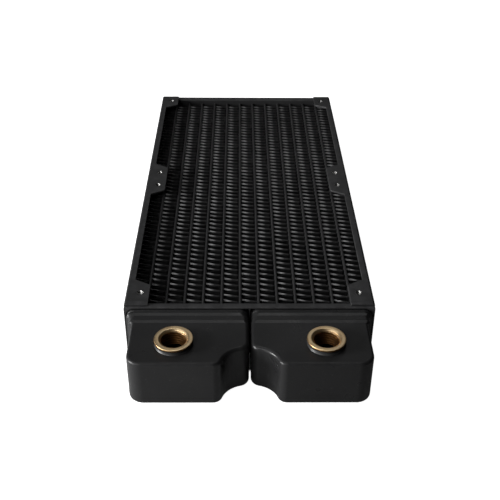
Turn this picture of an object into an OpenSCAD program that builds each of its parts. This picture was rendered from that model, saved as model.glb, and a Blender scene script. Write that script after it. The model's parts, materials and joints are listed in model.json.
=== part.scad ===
// Twin-fan liquid cooling radiator: a fin and flat-tube core between two header
// pans, side rails that carry the fan screws, two port tanks in front and one
// return tank behind. Origin: middle of the bottom face of the whole part.
// +Z is up, out of the fan face; -Y is the end with the ports.

/* [Fan grid] */
// Distance from one fan's centre to the next one's
fan_pitch = 120; // [112:1:130]
// Distance between one fan's screw holes
hole_pitch = 105; // [100:0.5:108]
// Number of fans along the core
fan_count = 2; // [1:1:3]
// Tapping hole of a fan screw
screw_d = 2.5; // [2:0.1:3.4]
// Outer diameter of the drawn collar under a screw hole
collar_d = 4.4; // [4.2:0.1:5]
// Height of the drawn collar under the flange
collar_h = 1.5; // [0.5:0.1:2.5]

/* [Side rails] */
// Width of the frame
frame_w = 119; // [119:0.5:122]
// Height of the frame, from flange to flange
frame_h = 30; // [28:0.5:45]
// Thickness of the rail's sheet
sheet_t = 1; // [0.6:0.1:1.2]
// Width of the narrow flange
flange_w = 3.8; // [3:0.1:5]
// Width of a screw tab, from the frame's side
tab_w = 11.5; // [10.5:0.1:13]
// Length of a front tab beyond its hole, over the front pan
front_tab_end = 9.4; // [5:0.1:9.8]
// Length of a rear tab beyond its hole, over the rear pan
rear_tab_end = 7.9; // [5:0.1:8.4]
// Length of a tab beyond its hole, towards the fan, at its inner edge
tab_reach = 6.2; // [4:0.1:8]
// Extra length of a tab where it meets the flange
tab_slant = 4.4; // [2:0.1:8]
// Radius of a tab's inner corners
tab_corner_r = 1.6; // [0.5:0.1:3]

/* [Header pans] */
// From the first row of holes to the front pan's open edge
front_margin = 10.5; // [10:0.1:14]
// From the last row of holes to the rear pan's open edge
rear_margin = 8.5; // [8.5:0.1:12]
// Depth of a header pan
pan_depth = 3.9; // [3.8:0.1:6]
// Thickness of a pan's rim
pan_rim_t = 0.9; // [0.8:0.1:1.4]
// Thickness of a pan's tube plate
web_t = 1.2; // [0.8:0.1:1.6]
// Corner radius of a pan's opening
window_r = 4.4; // [3.5:0.1:6]
// Width of the bar between the front pan's two openings
divider_w = 0.6; // [0.4:0.1:1]
// Gap around a tank's rim in its opening
rim_gap = 0.4; // [0.3:0.05:0.7]
// Gap between a port tank's rim and the bar
bar_gap = 0.2; // [0.1:0.05:0.3]

/* [Core] */
// Number of flat tubes is fixed by the nodes: this is their spacing
tube_pitch = 8.93; // [8.5:0.01:8.95]
// Thickness of a flat tube
tube_t = 1.3; // [1.2:0.1:2.4]
// Depth of a flat tube, along the air's way
tube_depth = 22; // [16:0.5:23]
// Wall of a flat tube
tube_wall = 0.25; // [0.15:0.05:0.4]
// Depth of a fin strip, along the air's way
fin_depth = 21.4; // [15:0.1:22]
// Length of one full fin wave
fin_wave = 4.2; // [3:0.1:6]
// Thickness of the fin's sheet
fin_t = 0.2; // [0.1:0.05:0.3]
// Flat length of a fin's crest on its tube
fin_crest = 0.7; // [0.5:0.1:1]
// Thickness of the side plates
side_plate_t = 1; // [0.8:0.1:1]

/* [Tanks] */
// Wall of a tank
tank_wall = 1.2; // [0.8:0.1:1.6]
// Length of a port tank in front of its pan
tank_len = 37; // [34:0.1:45]
// Distance of a port tank's top below the frame's top
tank_top_drop = 3.4; // [2.5:0.1:5]
// Height of a port tank's bottom above the frame's bottom
tank_bottom_rise = 2.9; // [2.5:0.1:5]
// Distance of a tank's side wall inside the frame's side
tank_side_inset = 4.5; // [3.5:0.1:6]
// Gap between the two port tanks
tank_gap = 0.8; // [0.4:0.1:2]
// Length of the rim that stands proud of the pan
rim_proud = 1.9; // [0.8:0.1:2.5]
// Length over which the rim steps down to the tank's walls
rim_run = 7; // [5:0.1:8]
// Share of that length taken by each of its two slopes
slope_share = 0.33; // [0.2:0.01:0.5]
// Corner radius of a rim
rim_r = 3.9; // [3:0.1:4.4]
// How far the recess between the tanks lies behind their front
recess_depth = 11.4; // [10.5:0.1:12]
// Angle at which the recess runs forward from a tank's inner corner
recess_slope = 13; // [5:1:20]
// Radius of a tank's inner corner
inner_corner_r = 4.9; // [3:0.1:5]
// Radius of the recess's hollow bend
recess_r = 11.6; // [8:0.1:12]
// Steepest angle of the recess
recess_angle = 71; // [60:1:71]
// Radius of the bend between the recess and the front
shoulder_r = 4.3; // [3:0.1:4.3]
// Radius of a tank's outer corner
outer_corner_r = 7; // [4:0.1:9]
// Length of the return tank behind its pan
return_len = 13.2; // [11:0.1:20]
// Distance of the return tank's top below the frame's top, and of its bottom above the frame's bottom
return_drop = 6; // [5:0.1:7]
// Radius of the return tank's rear edges
return_edge_r = 5; // [3:0.5:6]

/* [Ports] */
// Distance between the two ports
port_pitch = 68.6; // [60:0.1:72]
// Distance from a port's axis to its tank's front
port_setback = 14; // [13:0.1:18]
// Outer diameter of a port's collar
port_d = 17.7; // [17:0.1:20]
// Diameter of a port's neck, in its tank
port_neck_d = 15.9; // [15.4:0.1:16.4]
// Height of a port's mouth below the frame's top
port_drop = 0.3; // [0:0.1:1]
// Length of a port
port_len = 8.6; // [7:0.1:11]
// Core diameter of a quarter-inch pipe thread
port_bore_d = 11.445; // [11.44:0.005:11.9]
// Diameter of the countersink at a port's mouth
port_mouth_d = 13.3; // [13.2:0.1:14]

/* [Hidden] */
$fn = 64;

tube_count = 12;
eps = 0.01;            // overshoot of a hole's cut
clear = 1;             // overshoot of any other cut
tube_end = 1;          // length of a flat tube beyond its tube plates
film = 0.03;           // solder film between two parts of the core
arc_steps = 10;        // steps in each rounded corner of an outline
run_steps = 18;        // steps in the run from a rim to its walls

frame_len = front_margin + fan_pitch * (fan_count - 1) + hole_pitch + rear_margin;
total_len = tank_len + frame_len + return_len;
tank_front_y = -total_len / 2;
pan_front_y = tank_front_y + tank_len;          // open edge of the front pan
pan_rear_y = pan_front_y + frame_len;           // open edge of the rear pan
first_hole_y = pan_front_y + front_margin;
last_hole_y = pan_rear_y - rear_margin;
core_y0 = pan_front_y + pan_depth;              // core side of the front tube plate
core_y1 = pan_rear_y - pan_depth;               // core side of the rear tube plate
side_x = frame_w / 2;
mid_z = frame_h / 2;
hole_x = hole_pitch / 2;
fin_height = tube_pitch - tube_t - 2 * film;
tank_top_z = frame_h - tank_top_drop;
port_z = frame_h - port_drop;
port_y = tank_front_y + port_setback;

black = [0.09, 0.09, 0.1];
fin_black = [0.14, 0.14, 0.15];
brass = [0.8, 0.62, 0.3];

// ---- outlines ----------------------------------------------------------

function unit(v) = v / norm(v);
function left_of(v) = [-v.y, v.x];
function turn_of(u, v) = u.x * v.y - u.y * v.x;

// Arc of radius r that rounds the corner q between its neighbours p and s
function corner(p, q, s, r) =
    let (u = unit(p - q), v = unit(s - q))
    r <= 0 || abs(turn_of(u, v)) < 0.001 ? [q] :
    let (half = acos(u * v) / 2,
         centre = q + unit(u + v) * r / sin(half),
         from = q + u * r / tan(half) - centre,
         to = q + v * r / tan(half) - centre,
         start = atan2(from.y, from.x),
         sweep = atan2(turn_of(from, to), from * to))
    [for (i = [0:arc_steps])
        let (a = start + sweep * i / arc_steps)
        centre + r * [cos(a), sin(a)]];

// Closed outline from corners [x, y, radius]
function rounded(path) =
    let (n = len(path))
    [for (i = [0:n - 1])
        let (p = path[(i + n - 1) % n], q = path[i], s = path[(i + 1) % n])
        each corner([p.x, p.y], [q.x, q.y], [s.x, s.y], q.z)];

// The same corners moved inwards by d; the corners run anticlockwise
function inset(path, d) =
    let (n = len(path))
    [for (i = [0:n - 1])
        let (p = path[(i + n - 1) % n], q = path[i], s = path[(i + 1) % n],
             u = unit([q.x - p.x, q.y - p.y]), v = unit([s.x - q.x, s.y - q.y]),
             shift = d * (left_of(u) + left_of(v)) / (1 + u * v),
             r = q.z <= 0 ? 0 : turn_of(u, v) > 0 ? max(q.z - d, 0) : q.z + d)
        [q.x + shift.x, q.y + shift.y, r]];

// Rectangle from [x0, y0] to [x1, y1] with corners of radius r
function box_path(x0, y0, x1, y1, r) = [[x0, y0, r], [x1, y0, r], [x1, y1, r], [x0, y1, r]];

// Smooth S from 0 to 1
function ease(t) = (1 - cos(180 * t)) / 2;

// Two smooth slopes from 0 to 1 with a flat ledge between them
function two_slopes(t) =
    t < slope_share ? ease(t / slope_share) / 2 :
    t > 1 - slope_share ? 1 - ease((1 - t) / slope_share) / 2 : 0.5;

// Extrudes an outline drawn in X and Z from y0 to y1
module along_y(y0, y1) {
    translate([0, y1, 0]) rotate([90, 0, 0]) linear_extrude(y1 - y0) children();
}

// Extrudes an outline drawn in Y and Z from x0 to x1
module along_x(x0, x1) {
    translate([x0, 0, 0]) rotate([90, 0, 90]) linear_extrude(x1 - x0) children();
}

// ---- core --------------------------------------------------------------

function tube_x(i) = (i - (tube_count + 1) / 2) * tube_pitch;
function fin_x(i) = tube_x(i) - tube_pitch / 2;

// Section of a flat tube: two round edges and two flat sides
module tube_section(t, depth) {
    square([t, depth - t], center = true);
    for (s = [-1, 1]) translate([0, s * (depth - t) / 2]) circle(d = t);
}

module flat_tube(i) {
    color(black)
    translate([tube_x(i), 0, mid_z])
    along_y(core_y0 - web_t - tube_end, core_y1 + web_t + tube_end)
    difference() {
        tube_section(tube_t, tube_depth);
        tube_section(tube_t - 2 * tube_wall, tube_depth - 2 * tube_wall);
    }
}

// Middle line of a fin: flat crests on the left and right tube in turn
fin_end_gap = 1;
fin_half_waves = floor((core_y1 - core_y0 - 2 * fin_end_gap - fin_crest) / (fin_wave / 2));
fin_y0 = (core_y0 + core_y1 - fin_half_waves * fin_wave / 2) / 2;
fin_line = [
    for (i = [0:fin_half_waves], end = [-1, 1])
        [(i % 2 == 0 ? -1 : 1) * (fin_height - fin_t) / 2, fin_y0 + i * fin_wave / 2 + end * fin_crest / 2]];

// An open line moved to its left by d
function shifted(line, d) =
    let (n = len(line))
    [for (i = [0:n - 1])
        let (u = unit(line[max(i, 1)] - line[max(i, 1) - 1]),
             v = unit(line[min(i, n - 2) + 1] - line[min(i, n - 2)]))
        line[i] + d * (left_of(u) + left_of(v)) / (1 + u * v)];

function reversed(list) = [for (i = [len(list) - 1:-1:0]) list[i]];

module fin_strip(i) {
    color(fin_black)
    translate([fin_x(i), 0, mid_z - fin_depth / 2])
    linear_extrude(fin_depth)
    polygon(concat(shifted(fin_line, fin_t / 2), reversed(shifted(fin_line, -fin_t / 2))));
}

module side_plate(side) {
    plate_x = fin_x(tube_count + 1) + fin_height / 2 + film;
    color(black)
    scale([side, 1, 1])
    translate([plate_x, core_y0 + film, mid_z - tube_depth / 2])
    cube([side_plate_t, core_y1 - core_y0 - 2 * film, tube_depth]);
}

// ---- header pans -------------------------------------------------------

function window_path(x0, x1) =
    box_path(x0, sheet_t + pan_rim_t, x1, frame_h - sheet_t - pan_rim_t, window_r);

// A pan with its core side at y0 and its open edge at y1; windows is a list of [x0, x1]
module header_pan(y0, y1, windows) {
    low = min(y0, y1);
    high = max(y0, y1);
    out = sign(y1 - y0);
    web_y = y0 + out * web_t;
    open_y = y1 + out * clear;
    color(black)
    difference() {
        translate([-side_x, low, sheet_t]) cube([frame_w, high - low, frame_h - 2 * sheet_t]);
        for (w = windows)
            along_y(min(web_y, open_y), max(web_y, open_y))
                polygon(rounded(window_path(w[0], w[1])));
        for (i = [1:tube_count])
            translate([tube_x(i), 0, mid_z])
                along_y(low - clear, high + clear)
                    tube_section(tube_t + 2 * film, tube_depth + 2 * film);
    }
}

module front_header_pan() {
    inner_x = side_x - pan_rim_t;
    header_pan(core_y0, pan_front_y, [[-inner_x, -divider_w / 2], [divider_w / 2, inner_x]]);
}

module rear_header_pan() {
    header_pan(core_y1, pan_rear_y, [[pan_rim_t - side_x, side_x - pan_rim_t]]);
}

// ---- side rails --------------------------------------------------------

hole_rows = [
    for (i = [0:fan_count - 1], end = [0, 1]) first_hole_y + i * fan_pitch + end * hole_pitch];

// Flange of the right rail in plan, with a tab at each end and between the fans
module flange_outline() {
    flange_x = side_x - flange_w;
    tab_x = side_x - tab_w;
    y0 = first_hole_y - front_tab_end;
    y1 = last_hole_y + rear_tab_end;
    translate([flange_x, y0]) square([flange_w, y1 - y0]);
    polygon(rounded([
        [side_x - sheet_t, y0, 0],
        [side_x - sheet_t, first_hole_y + tab_reach + tab_slant, 0],
        [flange_x, first_hole_y + tab_reach + tab_slant, 0],
        [tab_x, first_hole_y + tab_reach, tab_corner_r],
        [tab_x, y0, 0]]));
    polygon(rounded([
        [side_x - sheet_t, y1, 0],
        [tab_x, y1, 0],
        [tab_x, last_hole_y - tab_reach, tab_corner_r],
        [flange_x, last_hole_y - tab_reach - tab_slant, 0],
        [side_x - sheet_t, last_hole_y - tab_reach - tab_slant, 0]]));
    for (i = [1:1:fan_count - 1]) {
        low = hole_rows[2 * i - 1] - tab_reach;
        high = hole_rows[2 * i] + tab_reach;
        polygon(rounded([
            [side_x - sheet_t, low - tab_slant, 0],
            [side_x - sheet_t, high + tab_slant, 0],
            [flange_x, high + tab_slant, 0],
            [tab_x, high, tab_corner_r],
            [tab_x, low, tab_corner_r],
            [flange_x, low - tab_slant, 0]]));
    }
}

module side_rail(side) {
    color(black)
    scale([side, 1, 1])
    difference() {
        union() {
            translate([side_x - sheet_t, core_y0, 0]) cube([sheet_t, core_y1 - core_y0, frame_h]);
            for (z = [0, frame_h - sheet_t])
                translate([0, 0, z]) linear_extrude(sheet_t) flange_outline();
            for (y = hole_rows, z = [sheet_t, frame_h - sheet_t - collar_h])
                translate([hole_x, y, z]) cylinder(d = collar_d, h = collar_h);
        }
        for (y = hole_rows, z = [0, frame_h - sheet_t - collar_h])
            translate([hole_x, y, z - eps]) cylinder(d = screw_d, h = sheet_t + collar_h + 2 * eps);
    }
}

// ---- tanks -------------------------------------------------------------

// Plan of the right port tank's body, anticlockwise from the pan
recess_y = tank_front_y + recess_depth;
recess_run = inner_corner_r * tan((90 - recess_slope) / 2)
    + recess_r * tan((recess_angle - recess_slope) / 2);
bend_x = tank_gap / 2 + recess_run * cos(recess_slope);
bend_y = recess_y - recess_run * sin(recess_slope);
tank_back_y = core_y0 - web_t - film;
rim_front_y = pan_front_y - rim_proud;
body_y = rim_front_y - rim_run;
tank_side_x = side_x - tank_side_inset;
port_tank_path = [
    [tank_gap / 2, tank_back_y, 0],
    [tank_gap / 2, recess_y, inner_corner_r],
    [bend_x, bend_y, recess_r],
    [bend_x + (bend_y - tank_front_y) / tan(recess_angle), tank_front_y, shoulder_r],
    [tank_side_x, tank_front_y, outer_corner_r],
    [tank_side_x, tank_back_y, 0]];

// Stepped run of [v, y] points from value v0 at the rim to v1 at the body's wall
function run_points(v0, v1, rim_y, wall_y) =
    [for (i = [0:run_steps])
        [v0 + (v1 - v0) * two_slopes(i / run_steps), rim_y + (wall_y - rim_y) * i / run_steps]];

function swapped(points) = [for (p = points) [p.y, p.x]];
function mirrored(points) = [for (p = points) [-p.x, p.y]];
function without_ends(points) = [for (i = [1:len(points) - 2]) points[i]];

rim_low = sheet_t + pan_rim_t + rim_gap;
rim_high = frame_h - sheet_t - pan_rim_t - rim_gap;
rim_out_x = side_x - pan_rim_t - rim_gap;
rim_in_x = divider_w / 2 + bar_gap;

// Plan of the right port tank, a skin of thickness d inside its outer face
function port_tank_plan(d, back_y) = concat(
    [[rim_in_x + d, back_y]],
    run_points(rim_in_x + d, tank_gap / 2 + d, rim_front_y, body_y),
    without_ends(rounded(inset(port_tank_path, d))),
    reversed(run_points(rim_out_x - d, tank_side_x - d, rim_front_y, body_y)),
    [[rim_out_x - d, back_y]]);

// Side view of a port tank: full rim height in the pan, running down to the body
function port_tank_side(d, back_y) = concat(
    [[back_y, rim_low + d]],
    swapped(run_points(rim_low + d, tank_bottom_rise + d, rim_front_y, body_y)),
    [[tank_front_y - clear, tank_bottom_rise + d], [tank_front_y - clear, tank_top_z - d]],
    reversed(swapped(run_points(rim_high - d, tank_top_z - d, rim_front_y, body_y))),
    [[back_y, rim_high - d]]);

module port_tank_fill(d, back_y) {
    intersection() {
        linear_extrude(frame_h) polygon(port_tank_plan(d, back_y));
        along_x(0, side_x) polygon(port_tank_side(d, back_y));
        along_y(tank_front_y - clear, back_y)
            polygon(rounded(inset(box_path(rim_in_x, rim_low, rim_out_x, rim_high, rim_r), d)));
    }
}

module port_tank(side) {
    color(black)
    scale([side, 1, 1])
    difference() {
        port_tank_fill(0, tank_back_y);
        port_tank_fill(tank_wall, tank_back_y + clear);
        translate([port_pitch / 2, port_y, mid_z]) cylinder(d = port_neck_d + 2 * film, h = frame_h);
    }
}

return_end_y = pan_rear_y + return_len;
return_back_y = core_y1 + web_t + film;
return_rim_y = pan_rear_y + rim_proud;
return_wall_y = return_end_y - return_edge_r;

// Half of the return tank's plan or side view: the rim at rim_v, the wall at v, a round rear edge
function return_half(rim_v, v, d, back_y) = concat(
    [[rim_v - d, back_y]],
    run_points(rim_v - d, v - d, return_rim_y, return_wall_y),
    [for (i = [1:arc_steps])
        [v - return_edge_r + (return_edge_r - d) * cos(90 * i / arc_steps),
         return_wall_y + (return_edge_r - d) * sin(90 * i / arc_steps)]]);

function return_outline(rim_v, v, d, back_y) =
    let (half = return_half(rim_v, v, d, back_y))
    concat(half, reversed(mirrored(half)));

module return_tank_fill(d, back_y) {
    intersection() {
        linear_extrude(frame_h) polygon(return_outline(rim_out_x, tank_side_x, d, back_y));
        translate([0, 0, mid_z]) along_x(-side_x, side_x)
            polygon(swapped(return_outline(rim_high - mid_z, mid_z - return_drop, d, back_y)));
        along_y(back_y, return_end_y + clear)
            polygon(rounded(inset(box_path(-rim_out_x, rim_low, rim_out_x, rim_high, rim_r), d)));
    }
}

module return_tank() {
    color(black)
    difference() {
        return_tank_fill(0, return_back_y);
        return_tank_fill(tank_wall, return_back_y - clear);
    }
}

// ---- ports -------------------------------------------------------------

module port(side) {
    countersink = (port_mouth_d - port_bore_d) / 2;
    color(brass)
    translate([side * port_pitch / 2, port_y, 0])
    rotate_extrude()
    polygon([
        [port_bore_d / 2, port_z - port_len],
        [port_neck_d / 2, port_z - port_len],
        [port_neck_d / 2, tank_top_z + film],
        [port_d / 2, tank_top_z + film],
        [port_d / 2, port_z],
        [port_mouth_d / 2, port_z],
        [port_bore_d / 2, port_z - countersink]]);
}

// ---- nodes -------------------------------------------------------------

side_rail(-1);  // left_side_rail
side_rail(1);  // right_side_rail
front_header_pan();
rear_header_pan();
side_plate(-1);  // left_side_plate
side_plate(1);  // right_side_plate
flat_tube(1);  // flat_tube_01
flat_tube(2);  // flat_tube_02
flat_tube(3);  // flat_tube_03
flat_tube(4);  // flat_tube_04
flat_tube(5);  // flat_tube_05
flat_tube(6);  // flat_tube_06
flat_tube(7);  // flat_tube_07
flat_tube(8);  // flat_tube_08
flat_tube(9);  // flat_tube_09
flat_tube(10);  // flat_tube_10
flat_tube(11);  // flat_tube_11
flat_tube(12);  // flat_tube_12
fin_strip(1);  // fin_strip_01
fin_strip(2);  // fin_strip_02
fin_strip(3);  // fin_strip_03
fin_strip(4);  // fin_strip_04
fin_strip(5);  // fin_strip_05
fin_strip(6);  // fin_strip_06
fin_strip(7);  // fin_strip_07
fin_strip(8);  // fin_strip_08
fin_strip(9);  // fin_strip_09
fin_strip(10);  // fin_strip_10
fin_strip(11);  // fin_strip_11
fin_strip(12);  // fin_strip_12
fin_strip(13);  // fin_strip_13
port_tank(-1);  // inlet_tank
port_tank(1);  // outlet_tank
return_tank();
port(-1);  // inlet_port
port(1);  // outlet_port
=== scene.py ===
"""Twin-fan liquid cooling radiator: the looks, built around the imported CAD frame.

Lengths are millimetres. Those of materials, lights and the camera, and names that end in _m or _M, are in
metres, as in the CAD frame. +Z is up, -Y is the end with the ports, and the origin is the bottom's middle.
"""
import bpy
import bmesh
import json
from math import acos, asin, atan2, ceil, cos, degrees, hypot, pi, radians, sin, tan
import numpy as np
from mathutils import Euler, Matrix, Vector


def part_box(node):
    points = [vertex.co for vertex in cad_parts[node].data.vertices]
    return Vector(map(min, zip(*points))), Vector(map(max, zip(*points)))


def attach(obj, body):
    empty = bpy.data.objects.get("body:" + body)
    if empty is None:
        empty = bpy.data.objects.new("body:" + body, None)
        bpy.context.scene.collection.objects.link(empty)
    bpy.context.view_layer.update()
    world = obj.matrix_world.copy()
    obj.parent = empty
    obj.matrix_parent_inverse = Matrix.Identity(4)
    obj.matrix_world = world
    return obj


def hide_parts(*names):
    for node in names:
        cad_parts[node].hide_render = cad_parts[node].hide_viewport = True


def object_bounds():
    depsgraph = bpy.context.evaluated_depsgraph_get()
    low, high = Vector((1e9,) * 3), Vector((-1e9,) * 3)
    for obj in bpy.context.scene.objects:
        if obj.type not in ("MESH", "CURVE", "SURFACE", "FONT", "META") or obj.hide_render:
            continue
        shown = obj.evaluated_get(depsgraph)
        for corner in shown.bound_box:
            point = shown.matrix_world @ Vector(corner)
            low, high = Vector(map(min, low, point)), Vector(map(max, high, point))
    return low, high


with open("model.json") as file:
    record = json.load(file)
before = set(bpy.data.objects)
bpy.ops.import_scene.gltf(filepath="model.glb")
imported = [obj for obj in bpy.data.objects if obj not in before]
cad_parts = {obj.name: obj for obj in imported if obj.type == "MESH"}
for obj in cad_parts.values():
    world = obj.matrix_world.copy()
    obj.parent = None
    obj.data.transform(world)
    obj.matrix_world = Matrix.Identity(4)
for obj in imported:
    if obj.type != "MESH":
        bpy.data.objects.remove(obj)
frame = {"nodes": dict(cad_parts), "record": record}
cad_low, cad_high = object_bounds()

MM = 0.001


def box_mm(node):
    """Low and high corner of a CAD node's box."""
    low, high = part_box(node)
    return low / MM, high / MM


# ---- the frame's measures, from the CAD nodes ----

RAIL_LOW, RAIL_HIGH = box_mm("right_side_rail")
FRONT_LOW, FRONT_HIGH = box_mm("front_header_pan")
REAR_LOW, REAR_HIGH = box_mm("rear_header_pan")
TANK_LOW, TANK_HIGH = box_mm("outlet_tank")
RETURN_LOW, RETURN_HIGH = box_mm("return_tank")

SIDE_X = RAIL_HIGH.x
TOP_Z = RAIL_HIGH.z
MID_Z = TOP_Z / 2
SHEET = FRONT_LOW.z - RAIL_LOW.z
CORE_Y0 = FRONT_HIGH.y
CORE_Y1 = REAR_LOW.y

SCREW_HOLES = []
for mount in frame["record"]["mounts"]:
    if mount["kind"] == "bolt_pattern" and mount["axis"][2] > 0:
        cx, cy = mount["pos_m"][0] / MM, mount["pos_m"][1] / MM
        half_x = mount["dims"]["spacing_x_mm"] / 2
        half_y = mount["dims"]["spacing_y_mm"] / 2
        SCREW_HOLES += [(cx + sx * half_x, cy + sy * half_y) for sx in (-1, 1) for sy in (-1, 1)]
HOLE_X = max(x for x, y in SCREW_HOLES)
HOLE_ROWS = sorted({round(y, 3) for x, y in SCREW_HOLES})

# ---- measures that the CAD nodes' boxes don't give ----

# side rails
FLANGE_W = 3.8            # narrow flange
TAB_W = 11.5              # screw tab, from the frame's side
TAB_REACH = 6.2           # tab beyond its hole, at its inner edge
TAB_SLANT = 4.4           # the slant down to the flange
TAB_CORNER_R = 1.6
BEND_R = 1.3              # outside of a rail's bend
SHEET_EDGE_R = 0.22       # worn edge of a cut sheet
RAIL_STEP = 9.0           # longest stretch of a rail without a row of points

# M3 screw holes
SCREW_CORE_R = 1.25
SCREW_MAJOR_R = 1.5
SCREW_PITCH = 0.5
SCREW_CUT_R = SCREW_MAJOR_R + 0.1
COLLAR_R = 2.2            # drawn collar below the sheet
COLLAR_DROP = 1.5

# header pans
PAN_RIM = 0.9
PAN_WEB = 1.2
PAN_BEND_R = 1.0
PAN_CORNER_R = 1.1
PAN_LIP_R = 0.24          # round of the rim's open edge
WINDOW_R = 4.4            # corners of the tray's inside
DIVIDER_W = 0.6
DIVIDER_EDGE_R = 0.12

# port tanks
RIM_R = 3.9               # top and bottom edges on the rim, shared with the return tank
TANK_TOP_Z = 26.6
TANK_BOTTOM_Z = 2.9
TANK_SIDE_X = 55.0
TANK_GAP = 0.8
RECESS_DEPTH = 11.4
RECESS_SLOPE = 13         # degrees
RECESS_ANGLE = 71         # degrees
INNER_CORNER_R = 4.9
RECESS_R = 11.6
SHOULDER_R = 4.3
OUTER_CORNER_R = 7.0
RIM_PROUD = 1.9
RIM_RUN = 7.0             # length of the two slopes from the rim to the body
SLOPE_SHARE = 0.33        # share of it that each slope takes
INNER_EDGE_R = 1.9        # top and bottom edges: beside the gap and round the inner corner
SHOULDER_EDGE_R = 1.5     # at the end of the recess
SIDE_EDGE_R = 1.3         # front and side
LID_DOME = 0.22
BEAD_GAP = 0.3            # solder bead along the front pan's rim
BEAD_W = 0.9
BEAD_H = 0.32

# return tank
RETURN_DROP = 6.0
RETURN_EDGE_R = 5.0
RETURN_RIM_PROUD = 1.3
RETURN_BODY_R = 2.0

# ports, with a G1/4 thread
PORT_NECK_R = 7.95
PORT_CORE_R = 5.7225
PORT_MAJOR_R = 6.5785
PORT_PITCH = 1.337
PORT_MOUTH_R = 6.65

# fins
FIN_START = 1.3           # first crest, from the strip's front end
FIN_START_SPREAD = 0.35
FIN_END = 0.45            # least distance of the last crest from the rear end
FIN_HALF_WAVE = 2.05
FIN_HALF_WAVE_SPREAD = 0.04
FIN_STRETCH = 0.15        # extra length of a half wave in the strip's front part
FIN_STRETCH_END = -52.0
FIN_STRETCH_FADE = 10.0
FIN_T = 0.2
FIN_CREST_FLAT = 0.28     # half the width of a crest along the strip
FIN_FOLD = 0.13           # share of a flank taken by the round of each fold
FIN_FOLD_PULL = 0.45      # how far along the flank that round starts to turn
FIN_STUB = 0.3            # loose end of the sheet beyond the first and last crest
FIN_HIGHLIGHT_H = 0.85       # band along the upper edge that takes the painted highlight
FLANK_T_SHARE = 0.8       # flanks are drawn thinner than the crests, so they end inside them
PAINT_TONE, PAINT_TONE_SPREAD = 0.02, 0.015     # tone of full paint, without the painted highlight
HIGHLIGHT_TONE, HIGHLIGHT_TONE_SPREAD = 0.85, 0.12        # and the painted highlight beside a left crest, which stands in for light falling into the opening there
HIGHLIGHT_TONE_LEAST = 0.4
HIGHLIGHT_FADE, HIGHLIGHT_FULL, HIGHLIGHT_RUN = 0.95, 0.18, 0.42    # what it loses after and over these shares of a flank
HIGHLIGHT_CREST = 0.3          # share of it left at the crest's tip
HIGHLIGHT_REAR, HIGHLIGHT_REAR_START, HIGHLIGHT_REAR_RUN = 0.55, 20.0, 100.0    # what it loses after and over these y, as a painted fall-off of that light towards the rear
FIN_SHARP = 40            # degrees between faces from which an edge stays sharp
LOUVRE_PITCH = 1.1
LOUVRE_SHARE = 0.46       # half height of a louvre, as a share of the pitch
LOUVRE_MID = 0.7          # half height of the plain band in the middle
LOUVRE_EDGE = 2.0         # least height of the plain bands at the top and bottom
LOUVRE_TILT = 27.0        # degrees
FIN_SEED = 100            # of the first strip; each next strip has the next number


# ---- mesh helpers ----

SHARP = 32                # degrees between faces from which an edge stays sharp
MERGE_M = 2e-6
DEGENERATE_M = 1e-7


class Shell:
    """Collects grids and faces in millimetres, and joins them into one mesh."""

    def __init__(self):
        self.verts = []
        self.faces = []
        self.mats = []
        self.edge = []

    def grid(self, rows, close_rows=False, close_cols=False, mat=0, edge=None):
        """Quads over rows of points. edge gives each row's or point's share of worn edge."""
        start = len(self.verts)
        n_rows, n_cols = len(rows), len(rows[0])
        for r, row in enumerate(rows):
            self.verts.extend(row)
            value = 0.0 if edge is None else edge[r]
            self.edge.extend(value if isinstance(value, (list, tuple)) else [value] * n_cols)
        mats = mat if isinstance(mat, (list, tuple)) else [mat] * n_rows
        for r in range(n_rows if close_rows else n_rows - 1):
            below = start + r * n_cols
            above = start + (r + 1) % n_rows * n_cols
            for c in range(n_cols if close_cols else n_cols - 1):
                d = (c + 1) % n_cols
                self.faces.append((below + c, below + d, above + d, above + c))
                self.mats.append(mats[r])

    def face(self, points):
        start = len(self.verts)
        self.verts.extend(points)
        self.edge.extend([0.0] * len(points))
        self.faces.append(tuple(range(start, len(self.verts))))
        self.mats.append(0)

    def tube(self, rows, edge=None):
        """A grid closed round its columns, with a face at each end."""
        self.grid(rows, close_cols=True, edge=edge)
        self.face(rows[0])
        self.face(rows[-1])

    def build(self, name, materials, sharp=SHARP, origin=(0, 0, 0), weighted=True, fill=False):
        """One object of all the grids and faces. fill closes what is still open."""
        mesh = bpy.data.meshes.new(name)
        place = Vector(origin)
        mesh.from_pydata([tuple((Vector(v) - place) * MM) for v in self.verts], [], self.faces)
        mesh.polygons.foreach_set("material_index", self.mats)
        wear = mesh.attributes.new("edge_wear", "FLOAT", "POINT")
        wear.data.foreach_set("value", self.edge)
        bm = bmesh.new()
        bm.from_mesh(mesh)
        bmesh.ops.remove_doubles(bm, verts=bm.verts, dist=MERGE_M)
        bmesh.ops.dissolve_degenerate(bm, edges=bm.edges, dist=DEGENERATE_M)
        if fill:
            bmesh.ops.holes_fill(bm, edges=[e for e in bm.edges if e.is_boundary], sides=0)
        bmesh.ops.recalc_face_normals(bm, faces=bm.faces)
        bm.to_mesh(mesh)
        bm.free()
        for m in materials:
            mesh.materials.append(m)
        obj = bpy.data.objects.new(name, mesh)
        obj.location = place * MM
        bpy.context.collection.objects.link(obj)
        finish_shading(obj, sharp, weighted)
        return obj


def finish_shading(obj, sharp=SHARP, weighted=True):
    """Smooth faces with sharp edges, and normals that follow the larger faces."""
    mesh = obj.data
    mesh.polygons.foreach_set("use_smooth", [True] * len(mesh.polygons))
    mesh.set_sharp_from_angle(angle=radians(sharp))
    if weighted and "weighted_normals" not in obj.modifiers:
        mod = obj.modifiers.new("weighted_normals", "WEIGHTED_NORMAL")
        mod.keep_sharp = True
        mod.weight = 60
    mesh.update()


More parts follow.
